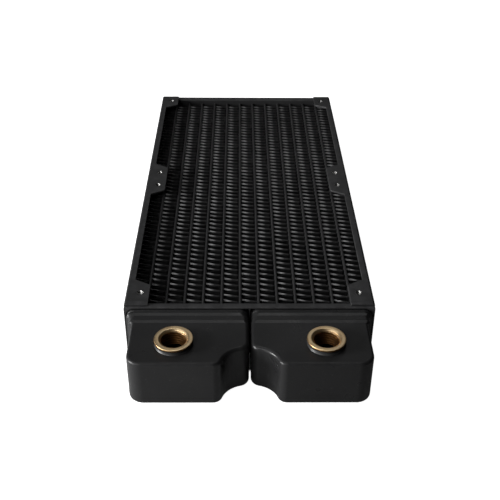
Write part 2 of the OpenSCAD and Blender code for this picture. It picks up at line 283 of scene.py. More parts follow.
def cut(obj, cutters):
    """Cuts the cutters out of obj, and removes them."""
    normals = obj.modifiers.get("weighted_normals")
    if normals:
        obj.modifiers.remove(normals)
    for tool in cutters:
        mod = obj.modifiers.new("cut", "BOOLEAN")
        mod.operation = "DIFFERENCE"
        mod.solver = "EXACT"
        mod.object = tool
    depsgraph = bpy.context.evaluated_depsgraph_get()
    mesh = bpy.data.meshes.new_from_object(obj.evaluated_get(depsgraph))
    obj.modifiers.clear()
    mesh.name = obj.name
    obj.data = mesh
    for tool in cutters:
        bpy.data.objects.remove(tool)
    finish_shading(obj)


def circle(x, y, z, r, segments):
    """Points round a vertical axis at (x, y)."""
    turns = [2 * pi * i / segments for i in range(segments)]
    return [(x + r * cos(turn), y + r * sin(turn), z) for turn in turns]


def thread_ring(x, y, z, segments, pitch, radius):
    """Points round a vertical axis on a thread. radius takes how near the point is to the groove, 0 to 1."""
    row = []
    for i in range(segments):
        turn = 2 * pi * i / segments
        near = 1 - abs(2 * ((z / pitch - i / segments) % 1.0) - 1)
        row.append((x + radius(near) * cos(turn), y + radius(near) * sin(turn), z))
    return row


def cylinder(name, x, y, z0, z1, r, segments=48):
    """A closed cylinder for cut."""
    shell = Shell()
    shell.tube([circle(x, y, z, r, segments) for z in (z0, z1)])
    return shell.build(name, [], weighted=False)


def arc(cx, cy, r, start, end, steps):
    """Points (x, y) on an arc, angles in degrees."""
    return [(cx + r * cos(radians(a)), cy + r * sin(radians(a))) for a in spread(start, end, steps)]


def ease(t):
    """0 to 1 with a level start and end, as half a cosine wave."""
    return (1 - cos(pi * t)) / 2


def two_slopes(t):
    """Two smooth slopes from 0 to 1 with a flat ledge between them."""
    t = min(max(t, 0.0), 1.0)
    if t < SLOPE_SHARE:
        return ease(t / SLOPE_SHARE) / 2
    if t > 1 - SLOPE_SHARE:
        return 1 - ease((1 - t) / SLOPE_SHARE) / 2
    return 0.5


def smooth_step(t):
    """0 to 1 with a level start and end, and held there outside."""
    t = min(max(t, 0.0), 1.0)
    return t * t * (3 - 2 * t)


def rounded_corner(p, q, s, r, steps):
    """Arc of radius r that rounds corner q between its neighbours p and s, as (x, y)."""
    if r <= 0:
        return [tuple(q)]
    p, q, s = Vector(p), Vector(q), Vector(s)
    u, v = (p - q).normalized(), (s - q).normalized()
    half = acos(max(-1, min(1, u.dot(v)))) / 2
    centre = q + (u + v).normalized() * r / sin(half)
    a, b = q + u * r / tan(half) - centre, q + v * r / tan(half) - centre
    start = atan2(a.y, a.x)
    sweep = atan2(a.x * b.y - a.y * b.x, a.dot(b))
    turns = [start + sweep * i / steps for i in range(steps + 1)]
    return [(centre.x + r * cos(turn), centre.y + r * sin(turn)) for turn in turns]


def spread(a, b, n):
    """n + 1 values from a to b."""
    return [a + (b - a) * i / n for i in range(n + 1)]


# ---- materials ----

def new_material(name):
    """A material with its node tree and its Principled shader."""
    m = bpy.data.materials.new(name)
    m.use_nodes = True
    nt = m.node_tree
    return m, nt, nt.nodes["Principled BSDF"]


def feed(nt, node, values):
    """Gives inputs of a node their sockets, numbers or colours."""
    for key, value in values.items():
        if isinstance(value, bpy.types.NodeSocket):
            nt.links.new(value, node.inputs[key])
        else:
            node.inputs[key].default_value = value
    return node


def new_node(nt, kind, values):
    return feed(nt, nt.nodes.new(kind), values)


def noise(nt, coords, scale, detail=2.0, stretch=None):
    """Noise with scale waves to the metre. stretch multiplies the scale along each axis."""
    if stretch:
        coords = new_node(nt, "ShaderNodeMapping", {"Vector": coords, "Scale": stretch}).outputs["Vector"]
    values = {"Vector": coords, "Scale": scale, "Detail": detail}
    return new_node(nt, "ShaderNodeTexNoise", values).outputs["Fac"]


def mapped(nt, value, low, high, from_low=0.3, from_high=0.7):
    """low at from_low and high at from_high, and held there outside. Noise keeps mostly to 0.3 to 0.7."""
    return new_node(nt, "ShaderNodeMapRange", {
        "Value": value, "From Min": from_low, "From Max": from_high, "To Min": low, "To Max": high,
    }).outputs["Result"]


def math_node(nt, operation, a, b=None):
    """a and b are numbers or sockets."""
    node = nt.nodes.new("ShaderNodeMath")
    node.operation = operation
    return feed(nt, node, {0: a} if b is None else {0: a, 1: b}).outputs[0]


def multiplied(nt, a, b):
    return math_node(nt, "MULTIPLY", a, b)


def mixed_color(nt, factor, a, b):
    """From a to b by factor. Each is a colour or a socket."""
    node = nt.nodes.new("ShaderNodeMix")
    node.data_type = "RGBA"
    a, b = [(*v, 1) if isinstance(v, tuple) else v for v in (a, b)]
    return feed(nt, node, {"Factor": factor, "A": a, "B": b}).outputs["Result"]


def bumped(nt, heights, bsdf):
    """Bump from a list of (height, strength, distance)."""
    target = bsdf
    for height, strength, distance in reversed(heights):
        node = new_node(nt, "ShaderNodeBump", {"Height": height, "Strength": strength, "Distance": distance})
        nt.links.new(node.outputs["Normal"], target.inputs["Normal"])
        target = node


def by_ray(nt, unseen, seen, output):
    """The shader seen for what the camera meets, and unseen for what lights the part."""
    ray = nt.nodes.new("ShaderNodeLightPath").outputs["Is Camera Ray"]
    mix = new_node(nt, "ShaderNodeMixShader", {0: ray, 1: unseen.outputs[0], 2: seen.outputs[0]})
    nt.links.new(mix.outputs[0], output.inputs["Surface"])


def object_coords(nt):
    return nt.nodes.new("ShaderNodeTexCoord").outputs["Object"]


def attribute(nt, name):
    """A value that the mesh holds for each of its points."""
    node = nt.nodes.new("ShaderNodeAttribute")
    node.attribute_name = name
    return node.outputs["Fac"]


def paint_material(name, dark, light, rough, grain, wave, specular=0.5, wear=0.0):
    """Black powder coat between two greys: patches, pale specks, slow waves and a fine grain, and edges worn
    paler and rougher. rough is the middle roughness; grain and wave are strengths of bump."""
    m, nt, bsdf = new_material(name)
    coords = object_coords(nt)
    patch = mapped(nt, noise(nt, coords, 42, 3), 0, 1)
    color = mixed_color(nt, patch, (dark, dark, dark * 1.03), (light, light, light * 1.02))
    speck = mapped(nt, noise(nt, coords, 900, 1), 0, 1, 0.68, 0.78)
    color = mixed_color(nt, multiplied(nt, speck, 0.5), color, (light * 2.2,) * 3)
    roughness = mapped(nt, noise(nt, coords, 75), rough - 0.05, rough + 0.06)
    if wear:
        edge = attribute(nt, "edge_wear")
        rub = multiplied(nt, edge, mapped(nt, noise(nt, coords, 260, 3), 0.3, 1, 0.4, 0.7))
        color = mixed_color(nt, multiplied(nt, rub, wear), color, (light * 3, light * 3, light * 3.1))
        roughness = math_node(nt, "ADD", roughness, multiplied(nt, edge, 0.08))
    feed(nt, bsdf, {"Base Color": color, "Roughness": roughness, "Specular IOR Level": specular})
    bumped(nt, [(noise(nt, coords, 130), wave, 0.0006), (noise(nt, coords, 1500), grain, 0.00004)], bsdf)
    return m


def fin_material(name):
    """Black paint on formed sheet, with a painted highlight: a tone that the mesh holds for each point mixes
    the paint towards pale grey where light falls into the fins, and it gives a slight random tone elsewhere.
    """
    m, nt, bsdf = new_material(name)
    coords = object_coords(nt)
    # painted highlight: the mesh's per-point tone, made a little uneven, says how far the paint goes towards
    # pale grey
    painted_highlight = multiplied(nt, attribute(nt, "tone_and_painted_highlight"), mapped(nt, noise(nt, coords, 420, 3), 0.75, 1.0))
    patch = mapped(nt, noise(nt, coords, 160, 3), 0, 1)
    color = mixed_color(nt, patch, (0.006, 0.006, 0.0062), (0.009, 0.009, 0.0093))
    feed(nt, bsdf, {"Base Color": mixed_color(nt, painted_highlight, color, (0.53, 0.53, 0.535)),
                    "Roughness": mapped(nt, noise(nt, coords, 300), 0.36, 0.46), "Specular IOR Level": 0.2})
    bumped(nt, [(noise(nt, coords, 2200), 0.25, 0.00004)], bsdf)
    return m


TOOL_MARK_M = 0.00022  # pitch of the turned rings
BORE_PAINTED_SHADE_DEPTH_M = (-0.0022, -0.0003)  # painted shade in the bore begins over this depth
BORE_PAINTED_SHADE_RADII_M = (0.00680, 0.00705)  # and ends over these radii
SIDE_PAINTED_SHADE_RADII_M = (0.00862, 0.00882)  # the painted shade on the side begins over these


def brass_material(name):
    """Turned brass: fine rings round the port's axis, soft stains, and painted shade deep in the bore and on
    the outer side. The port's origin is the middle of its mouth."""
    m, nt, bsdf = new_material(name)
    coords = object_coords(nt)
    x, y, z = new_node(nt, "ShaderNodeSeparateXYZ", {0: coords}).outputs
    radius = math_node(nt, "SQRT", math_node(nt, "ADD", multiplied(nt, x, x), multiplied(nt, y, y)))
    rings = math_node(nt, "SINE", multiplied(nt, math_node(nt, "ADD", radius, z), 2 * pi / TOOL_MARK_M))
    stain = mapped(nt, noise(nt, coords, 110), 0, 1)
    color = mixed_color(nt, stain, (0.98, 0.70, 0.39), (1.0, 0.78, 0.48))
    # painted shade: darker deep down in the bore
    deep = mapped(nt, z, 1, 0, *BORE_PAINTED_SHADE_DEPTH_M)
    bore = mapped(nt, radius, 1, 0, *BORE_PAINTED_SHADE_RADII_M)
    color = mixed_color(nt, multiplied(nt, deep, bore), color, (0.17, 0.080, 0.028))
    # painted shade on the outer side of the mouth's ring
    side = mapped(nt, radius, 0, 1, *SIDE_PAINTED_SHADE_RADII_M)
    color = mixed_color(nt, side, color, (0.24, 0.13, 0.05))
    rough = mapped(nt, noise(nt, coords, 240), 0.34, 0.40)
    roughness = math_node(nt, "ADD", rough, multiplied(nt, deep, 0.12))
    feed(nt, bsdf, {"Base Color": color, "Roughness": roughness, "Metallic": 1.0})
    bumped(nt, [(rings, 0.04, 0.00002), (noise(nt, coords, 300), 0.03, 0.00003)], bsdf)
    return m


def thread_steel_material(name):
    """Cut steel thread: bright, slightly stained, with fine tool marks."""
    m, nt, bsdf = new_material(name)
    coords = object_coords(nt)
    stain = mapped(nt, noise(nt, coords, 1200, 3), 0, 1)
    feed(nt, bsdf, {"Base Color": mixed_color(nt, stain, (0.62, 0.61, 0.59), (0.80, 0.80, 0.79)),
                    "Roughness": mapped(nt, noise(nt, coords, 2500), 0.18, 0.34), "Metallic": 1.0})
    bumped(nt, [(noise(nt, coords, 5000, 1, stretch=(1, 1, 6)), 0.2, 0.00002)], bsdf)
    return m


FLOOR_GLOW = 1.0
# soft edge of the painted shadow on the floor
FLOOR_PAINTED_SHADOW_EDGE_M = 0.0015
FLOOR_PAINTED_LIGHT_LEFT, FLOOR_PAINTED_SHADE_RIGHT = 0.85, 0.25  # greys that the part meets, with painted light on the left and painted shade from the part on the right
FLOOR_SWEEP_M = 0.10  # one turns into the other within this distance of the middle
UNDER_CORE_X = 56.0  # half width of the painted shadow on the floor below the core
UNDER_GAP_X, UNDER_GAP_Y = 20.0, -121.0  # and between the tanks, from this y


def floor_material():
    """Pale studio paper that glows white round the part, with a painted shadow under the core and between the
    tanks, where the glow is left out. The part itself meets a plain grey with painted light and shade, light
    on the left and dark on the right."""
    m, nt, bsdf = new_material("studio_paper")
    coords = object_coords(nt)
    tone = mapped(nt, noise(nt, coords, 6, 3), 0, 1)
    feed(nt, bsdf, {"Base Color": mixed_color(nt, tone, (0.90,) * 3, (0.93,) * 3), "Roughness": 0.9,
                    "Specular IOR Level": 0.2})
    x, y, _ = new_node(nt, "ShaderNodeSeparateXYZ", {0: coords}).outputs

    def past(value, low, high):
        """How far a coordinate lies outside two values."""
        off = math_node(nt, "ABSOLUTE", math_node(nt, "SUBTRACT", value, (low + high) / 2 * MM))
        return math_node(nt, "SUBTRACT", off, (high - low) / 2 * MM)

    def beyond(half_x, low_y, high_y):
        """How far a point lies outside a rectangle of the floor."""
        return math_node(nt, "MAXIMUM", past(x, -half_x, half_x), past(y, low_y, high_y))

    # painted shadow: the glow is left out under the core and between the tanks
    outside = math_node(nt, "MINIMUM", beyond(UNDER_CORE_X, CORE_Y0, CORE_Y1),
                        beyond(UNDER_GAP_X, UNDER_GAP_Y, CORE_Y0))
    glow = new_node(nt, "ShaderNodeEmission", {
        "Strength": mapped(nt, outside, 0, FLOOR_GLOW, 0, FLOOR_PAINTED_SHADOW_EDGE_M)})
    add = new_node(nt, "ShaderNodeAddShader", {0: bsdf.outputs[0], 1: glow.outputs[0]})
    # painted light and shade: the grey that lights the part runs from light on the left to dark on the right
    sweep = mapped(nt, x, 0, 1, -FLOOR_SWEEP_M, FLOOR_SWEEP_M)
    grey = new_node(nt, "ShaderNodeBsdfDiffuse", {
        "Color": mixed_color(nt, sweep, (FLOOR_PAINTED_LIGHT_LEFT,) * 3, (FLOOR_PAINTED_SHADE_RIGHT,) * 3)})
    by_ray(nt, grey, add, nt.nodes["Material Output"])
    return m


frame_paint = paint_material("frame_powder_coat", 0.0210, 0.0260, rough=0.34, grain=0.30, wave=0.08,
                             specular=0.30, wear=0.5)
tank_paint = paint_material("tank_powder_coat", 0.0160, 0.0200, rough=0.31, grain=0.12, wave=0.12,
                            specular=0.24, wear=0.35)
core_paint = paint_material("core_paint", 0.022, 0.029, rough=0.36, grain=0.30, wave=0.15)
fin_paint = fin_material("fin_paint")
brass = brass_material("turned_brass")
steel = thread_steel_material("cut_thread")


# ---- side rails ----

def flange_stations():
    """(y, width of the flange) along a rail, from the front tab's end to the rear tab's end."""
    def slope(y_tab, y_narrow):
        on_tab = (y_tab + (y_tab - y_narrow), TAB_W)
        corner = rounded_corner(on_tab, (y_tab, TAB_W), (y_narrow, FLANGE_W), TAB_CORNER_R, 5)
        return corner + [(y_narrow, FLANGE_W)]

    first, last = HOLE_ROWS[0], HOLE_ROWS[-1]
    line = [(RAIL_LOW.y, TAB_W)]
    line += slope(first + TAB_REACH, first + TAB_REACH + TAB_SLANT)
    for low, high in zip(HOLE_ROWS[1:-1:2], HOLE_ROWS[2:-1:2]):
        line += reversed(slope(low - TAB_REACH, low - TAB_REACH - TAB_SLANT))
        line += slope(high + TAB_REACH, high + TAB_REACH + TAB_SLANT)
    line += reversed(slope(last - TAB_REACH, last - TAB_REACH - TAB_SLANT))
    line.append((RAIL_HIGH.y, TAB_W))
    full = [line[0]]
    for a, b in zip(line, line[1:]):
        steps = max(1, ceil((b[0] - a[0]) / RAIL_STEP))
        full += list(zip(spread(a[0], b[0], steps), spread(a[1], b[1], steps)))[1:]
    return full


def split_stations(stations, low, high):
    """The stations from low to high, with ones at both ends."""
    def width(y):
        for (y0, w0), (y1, w1) in zip(stations, stations[1:]):
            if y0 <= y <= y1:
                return w0 + (w1 - w0) * (y - y0) / max(y1 - y0, 1e-9)
        return TAB_W
    inside = [s for s in stations if low + 0.05 < s[0] < high - 0.05]
    return [(low, width(low))] + inside + [(high, width(high))]


def channel_section(width):
    """Closed C section of the right rail in X and Z, and each point's share of edge."""
    xi, xo, e = SIDE_X - width, SIDE_X, SHEET_EDGE_R
    ri = BEND_R - SHEET
    outer = arc(xo - BEND_R, TOP_Z - BEND_R, BEND_R, 90, 0, 6) + arc(xo - BEND_R, BEND_R, BEND_R, 0, -90, 6)
    low_edge = arc(xi + e, e, e, 270, 180, 3) + arc(xi + e, SHEET - e, e, 180, 90, 3)
    web_x = xo - SHEET - ri
    inner = arc(web_x, SHEET + ri, ri, -90, 0, 3) + arc(web_x, TOP_Z - SHEET - ri, ri, 0, 90, 3)
    high_edge = arc(xi + e, TOP_Z - SHEET + e, e, 270, 180, 3) + arc(xi + e, TOP_Z - e, e, 180, 90, 3)
    points = outer + low_edge + inner + high_edge
    edge = [0.5] * len(outer) + [1] * len(low_edge) + [0] * len(inner) + [1] * len(high_edge)
    return points, edge


def plate_section(width, shrink):
    """Closed section in X and Z of the top flange where it lies on a pan, and each point's share of edge."""
    e = SHEET_EDGE_R
    xi, xo, top, low = SIDE_X - width + shrink, SIDE_X - shrink, TOP_Z - shrink, TOP_Z - SHEET + shrink
    cut_angle = degrees(asin((BEND_R - SHEET + shrink) / BEND_R))
    outer = arc(xo - BEND_R, top - BEND_R, BEND_R, 90, cut_angle, 5)
    outer[-1] = (outer[-1][0], low)
    inner = arc(xi + e, low + e, e, 270, 180, 3) + arc(xi + e, top - e, e, 180, 90, 3)
    return outer + inner, [0.6] * len(outer) + [1] * len(inner)


def side_rail(side, name):
    """A folded channel between the pans, the ends of its flanges over the pans, and its screw threads."""
    shell = Shell()
    rows, edges = [], []
    for y, w in split_stations(flange_stations(), CORE_Y0, CORE_Y1):
        points, edge = channel_section(w)
        rows.append([(side * x, y, z) for x, z in points])
        edges.append(edge)
    shell.tube(rows, edges)
    body = shell.build(name, [frame_paint, steel])

    plates = Shell()
    for end, web_end in ((RAIL_LOW.y, CORE_Y0), (RAIL_HIGH.y, CORE_Y1)):
        inward = 1 if web_end > end else -1
        for flip in (False, True):
            rows, edges = [], []
            rounding = [(end + inward * run, shrink) for run, shrink in ((0, 0.16), (0.05, 0.06), (0.16, 0))]
            for y, shrink in rounding + [(web_end, 0)]:
                points, edge = plate_section(TAB_W, shrink)
                rows.append([(side * x, y, TOP_Z - z if flip else z) for x, z in points])
                edges.append(edge)
            plates.tube(rows, edges)
    ends = plates.build(name + "_plates", [frame_paint, steel])

    spans = ((-1, SHEET + 1), (TOP_Z - SHEET - 1, TOP_Z + 1))
    cut(body, [cylinder(f"tool_{i}_{k}", side * HOLE_X, y, *span, SCREW_CUT_R)
               for i, y in enumerate(HOLE_ROWS) for k, span in enumerate(spans)])

    threads = Shell()
    for y in HOLE_ROWS:
        for flip in (False, True):
            screw_thread(threads, side * HOLE_X, y, flip)
    sleeves = threads.build(name + "_threads", [frame_paint, steel], weighted=False)
    return join([body, ends, sleeves], name)


def screw_thread(shell, x, y, flip):
    """A tapped collar of the top flange, or of the bottom one with flip: painted outside, with a bare chamfer
    and thread inside."""
    segments = 40
    depth = SCREW_MAJOR_R - SCREW_CORE_R
    top, sheet_z = TOP_Z - 0.01, TOP_Z - SHEET
    low = sheet_z - COLLAR_DROP
    rows, mats = [], []

    def add(points, mat):
        rows.append([(px, py, TOP_Z - pz) for px, py, pz in points] if flip else points)
        mats.append(mat)

    for r, z, mat in ((SCREW_CUT_R, sheet_z, 0), (SCREW_CUT_R, top, 1), (SCREW_MAJOR_R + 0.06, top, 1),
                      (SCREW_CORE_R + 0.02, top - 0.32, 1)):
        add(circle(x, y, z, r, segments), mat)
    z = top - 0.36
    while z > low + 0.1:
        add(thread_ring(x, y, z, segments, SCREW_PITCH,
                        lambda near: SCREW_CORE_R + depth * smooth_step(near)), 1)
        z -= SCREW_PITCH / 8
    for r, z in ((SCREW_CORE_R + 0.15, low), (COLLAR_R - 0.2, low), (COLLAR_R, low + 0.2),
                 (COLLAR_R + 0.05, sheet_z - 0.3), (COLLAR_R + 0.45, sheet_z)):
        add(circle(x, y, z, r, segments), 0)
    shell.grid(rows, close_cols=True, mat=mats)


def join(objects, name):
    """Joins meshes that share their material slots into the first one."""
    bm = bmesh.new()
    for o in objects:
        bm.from_mesh(o.data)
    mesh = bpy.data.meshes.new(name)
    bm.to_mesh(mesh)
    bm.free()
    for m in objects[0].data.materials:
        mesh.materials.append(m)
    obj = objects[0]
    obj.data = mesh
    for o in objects[1:]:
        bpy.data.objects.remove(o)
    finish_shading(obj)
    return obj


# ---- header pans ----

def rect_loop(x0, x1, z0, z1, r, y, steps=6):
    """Rounded rectangle in X and Z at one y."""
    r = max(r, 0.01)
    points = (arc(x1 - r, z1 - r, r, 0, 90, steps) + arc(x0 + r, z1 - r, r, 90, 180, steps)
              + arc(x0 + r, z0 + r, r, 180, 270, steps) + arc(x1 - r, z0 + r, r, 270, 360, steps))
    return [(x, y, z) for x, z in points]


def header_pan(name, low, high, outward, divided):
    """A stamped tray: a tube plate on the core side, and a rim round its open side, which faces outward."""
    core_y = high.y if outward < 0 else low.y
    open_y = low.y if outward < 0 else high.y
    shell = Shell()

    def loop(inset, r, y):
        return rect_loop(low.x + inset, high.x - inset, low.z + inset, high.z - inset, r, y)

    rows, edge = [], []
    for a in (0, 22.5, 45, 67.5, 90):
        back = PAN_BEND_R * (1 - sin(radians(a)))
        rows.append(loop(back, PAN_CORNER_R, core_y + outward * PAN_BEND_R * (1 - cos(radians(a)))))
        edge.append(0.5)
    for a in (0, 30, 60, 90):
        back = PAN_LIP_R * (1 - sin(radians(a)))
        rows.append(loop(PAN_LIP_R * (1 - cos(radians(a))), PAN_CORNER_R, open_y - outward * back))
        edge.append(1.0)
    for a in (0, 30, 60, 90):
        inset = PAN_RIM - PAN_LIP_R * (1 - sin(radians(a)))
        r = PAN_CORNER_R + (WINDOW_R - PAN_CORNER_R) * inset / PAN_RIM
        rows.append(loop(inset, r, open_y - outward * PAN_LIP_R * (1 - cos(radians(a)))))
        edge.append(0.8)
    floor_y = core_y + outward * PAN_WEB
    rows.append(loop(PAN_RIM, WINDOW_R, floor_y + outward * 0.5))
    rows.append(loop(PAN_RIM + 0.15, WINDOW_R, floor_y + outward * 0.15))
    rows.append(loop(PAN_RIM + 0.5, WINDOW_R, floor_y))
    edge += [0, 0, 0]
    shell.tube(rows, edge)
    if divided:
        half, r = DIVIDER_W / 2, DIVIDER_EDGE_R
        corner = [(half - r * (1 - cos(radians(a))), open_y - outward * r * (1 - sin(radians(a))))
                  for a in (0, 45, 90)]
        section = corner + [(-x, y) for x, y in reversed(corner)] + [(-half, floor_y), (half, floor_y)]
        levels = spread(low.z + PAN_RIM - 0.05, high.z - PAN_RIM + 0.05, 8)
        shell.tube([[(x, y, z) for x, y in section] for z in levels], [0.5] * len(levels))
    return shell.build(name, [frame_paint])


# ---- port tanks ----

RIM_FRONT_Y = FRONT_LOW.y - RIM_PROUD
BODY_Y = RIM_FRONT_Y - RIM_RUN
TANK_BACK_Y = TANK_HIGH.y
FRONT_Y = TANK_LOW.y
RIM_IN_X = DIVIDER_W / 2 + 0.2
RIM_OUT_X = TANK_HIGH.x


def run_share(y):
    """0 on the rim, 1 on the body."""
    return two_slopes((RIM_FRONT_Y - y) / RIM_RUN)


def tank_outline():
    """Plan of the right port tank from the pan's inner end round the front to its outer end, in three parts.
    Each point is (x, y, fillet radius of the top and bottom edges)."""
    gap = TANK_GAP / 2
    recess_y = FRONT_Y + RECESS_DEPTH
    run = (INNER_CORNER_R * tan(radians((90 - RECESS_SLOPE) / 2))
           + RECESS_R * tan(radians((RECESS_ANGLE - RECESS_SLOPE) / 2)))
    bend = (gap + run * cos(radians(RECESS_SLOPE)), recess_y - run * sin(radians(RECESS_SLOPE)))
    shoulder_x = bend[0] + (bend[1] - FRONT_Y) / tan(radians(RECESS_ANGLE))
    bead_y = FRONT_LOW.y - BEAD_GAP
    side_ys = ([TANK_BACK_Y, FRONT_LOW.y + 1.2, FRONT_LOW.y + 0.2] + spread(bead_y, bead_y - BEAD_W, 6)
               + spread(RIM_FRONT_Y, BODY_Y, 22))

    def along_side(rim_x, body_x, body_r):
        shares = [run_share(y) for y in side_ys]
        return [(rim_x + (body_x - rim_x) * share, y, RIM_R + (body_r - RIM_R) * smooth_step(share))
                for y, share in zip(side_ys, shares)]

    def with_radius(points, first, last):
        steps = len(points) - 1
        return [(x, y, first + (last - first) * i / steps) for i, (x, y) in enumerate(points)]

    front_inner, front_outer = (shoulder_x, FRONT_Y), (TANK_SIDE_X, FRONT_Y)
    corner = rounded_corner((gap, BODY_Y), (gap, recess_y), bend, INNER_CORNER_R, 12)
    hollow = rounded_corner((gap, recess_y), bend, front_inner, RECESS_R, 16)
    shoulder = rounded_corner(bend, front_inner, front_outer, SHOULDER_R, 12)
    outer = rounded_corner(front_inner, front_outer, (TANK_SIDE_X, BODY_Y), OUTER_CORNER_R, 14)
    inner_side = along_side(RIM_IN_X, gap, INNER_EDGE_R)
    inner_side += [(gap, y, INNER_EDGE_R) for y in spread(BODY_Y, corner[0][1], 6)[1:-1]]
    front = (with_radius(corner, INNER_EDGE_R, INNER_EDGE_R)
             + with_radius(hollow, INNER_EDGE_R, SHOULDER_EDGE_R)
             + with_radius(shoulder, SHOULDER_EDGE_R, SIDE_EDGE_R)
             + [(x, FRONT_Y, SIDE_EDGE_R) for x in spread(shoulder[-1][0], outer[0][0], 6)[1:-1]]
             + with_radius(outer, SIDE_EDGE_R, SIDE_EDGE_R))
    outer_side = [(TANK_SIDE_X, y, SIDE_EDGE_R) for y in spread(outer[-1][1], BODY_Y, 6)[1:-1]]
    outer_side += reversed(along_side(RIM_OUT_X, TANK_SIDE_X, SIDE_EDGE_R))
    return inner_side, front, outer_side


def bead(y):
    """Height of the solder bead that runs along the pan's rim."""
    t = (FRONT_LOW.y - BEAD_GAP - y) / BEAD_W
    return BEAD_H * sin(pi * t) if 0 < t < 1 else 0


def tank_z(y, top):
    """Height of the lid, or of the bottom."""
    share = run_share(y)
    if top:
        return TANK_HIGH.z + (TANK_TOP_Z - TANK_HIGH.z) * share + bead(y)
    return TANK_LOW.z + (TANK_BOTTOM_Z - TANK_LOW.z) * share - bead(y)


def inward_normals(points):
    """Unit vectors to the left of a line of points, straight across at its two ends."""
    out = []
    for i in range(len(points)):
        a, b = points[max(i - 1, 0)], points[min(i + 1, len(points) - 1)]
        dx, dy = b[0] - a[0], b[1] - a[1]
        size = hypot(dx, dy) or 1
        out.append((-dy / size, dx / size))
    out[0], out[-1] = (1, 0), (-1, 0)
    return out


def port_tank(side, name, port_node):
    """A drawn shell with a stepped rim and rounded edges, cut for its port."""
    inner, front, outer = tank_outline()
    line = inner + front + outer
    normals = inward_normals(line)
    n_in, n_out = len(inner), len(outer)
    shell = Shell()

    def lid_point(k, angle, top):
        x, y, r = line[k]
        nx, ny = normals[k]
        back, drop = r * (1 - sin(radians(angle))), r * (1 - cos(radians(angle)))
        z = tank_z(y, top)
        return (x + nx * back, y + ny * back, z - drop if top else z + drop)

    angles = spread(0, 90, 7)
    high = [[lid_point(k, a, True) for k in range(len(line))] for a in angles]
    low = [[lid_point(k, a, False) for k in range(len(line))] for a in reversed(angles)]
    wall = [[tuple(h + (l - h) * t for h, l in zip(a, b)) for a, b in zip(high[-1], low[0])]
            for t in (0.33, 0.67)]
    rows = high + wall + low
    worn = [0.3 if 0 < a < 90 else 0 for a in angles]
    shell.grid(rows, edge=worn + [0] * len(wall) + worn)

    for top in (True, False):
        ring = rows[0] if top else rows[-1]
        left = ring[:n_in]
        right = list(reversed(ring[len(ring) - n_out:]))
        mid = ring[n_in - 1:len(ring) - n_out + 1]
        # the rim and its slopes: straight rows across
        run_rows = [i for i in range(n_in) if line[i][1] >= BODY_Y - 0.001]
        shares = [(p[0] - mid[0][0]) / (mid[-1][0] - mid[0][0]) for p in mid]
        lid = []
        for i in run_rows:
            a, b = left[i], right[i]
            lid.append([(a[0] + (b[0] - a[0]) * t, a[1], tank_z(a[1], top)) for t in shares])
        # the body: straight columns from the last of those rows to the front curve, slightly domed
        left_body, right_body = left[run_rows[-1]:], right[run_rows[-1]:]
        for a, b in zip(left_body[1:], right_body[1:]):
            row = []
            for t, fore in zip(shares, mid):
                v0 = (BODY_Y - a[1]) / (BODY_Y - mid[0][1])
                v1 = (BODY_Y - b[1]) / (BODY_Y - mid[-1][1])
                v = v0 + (v1 - v0) * t
                dome = (1 if top else -1) * LID_DOME * sin(pi * t) * sin(pi * v)
                row.append((fore[0], BODY_Y + (fore[1] - BODY_Y) * v, tank_z(BODY_Y, top) + dome))
            lid.append(row)
        shell.grid(lid)
    shell.verts = [(side * x, y, z) for x, y, z in shell.verts]
    obj = shell.build(name, [tank_paint], fill=True)
    port_low, port_high = box_mm(port_node)
    x, y = (port_low.x + port_high.x) / 2, (port_low.y + port_high.y) / 2
    cut(obj, [cylinder(name + "_tool", x, y, TANK_BOTTOM_Z + 1.5, TOP_Z + 5, PORT_NECK_R + 0.05, 64)])
    return obj


# ---- return tank ----

def return_tank(name):
    """A drawn cap across the rear pan: a rim, two slopes and a rounded rear edge."""
    rim_y = REAR_HIGH.y + RETURN_RIM_PROUD
    wall_y = RETURN_HIGH.y - RETURN_EDGE_R
    half_rim_z, half_wall_z = RETURN_HIGH.z - MID_Z, MID_Z - RETURN_DROP

    def loop(half_x, half_z, r, y):
        return rect_loop(-half_x, half_x, MID_Z - half_z, MID_Z + half_z, r, y, steps=8)

    rows = [loop(RETURN_HIGH.x, half_rim_z, RIM_R, y)
            for y in [RETURN_LOW.y] + spread(REAR_HIGH.y, rim_y, 2)[:-1]]
    for y in spread(rim_y, wall_y, 24):
        share = two_slopes((y - rim_y) / (wall_y - rim_y))
        rows.append(loop(RETURN_HIGH.x + (TANK_SIDE_X - RETURN_HIGH.x) * share,
                         half_rim_z + (half_wall_z - half_rim_z) * share,
                         RIM_R + (RETURN_BODY_R - RIM_R) * share, y))
    for a in spread(0, 90, 8)[1:]:
        back = RETURN_EDGE_R * (1 - cos(radians(a)))
        rows.append(loop(TANK_SIDE_X - back, half_wall_z - back, RETURN_BODY_R * (1 + sin(radians(a))),
                         wall_y + RETURN_EDGE_R * sin(radians(a))))
    shell = Shell()
    shell.tube(rows, [0.2] * len(rows))
    return shell.build(name, [tank_paint])


# ---- ports ----

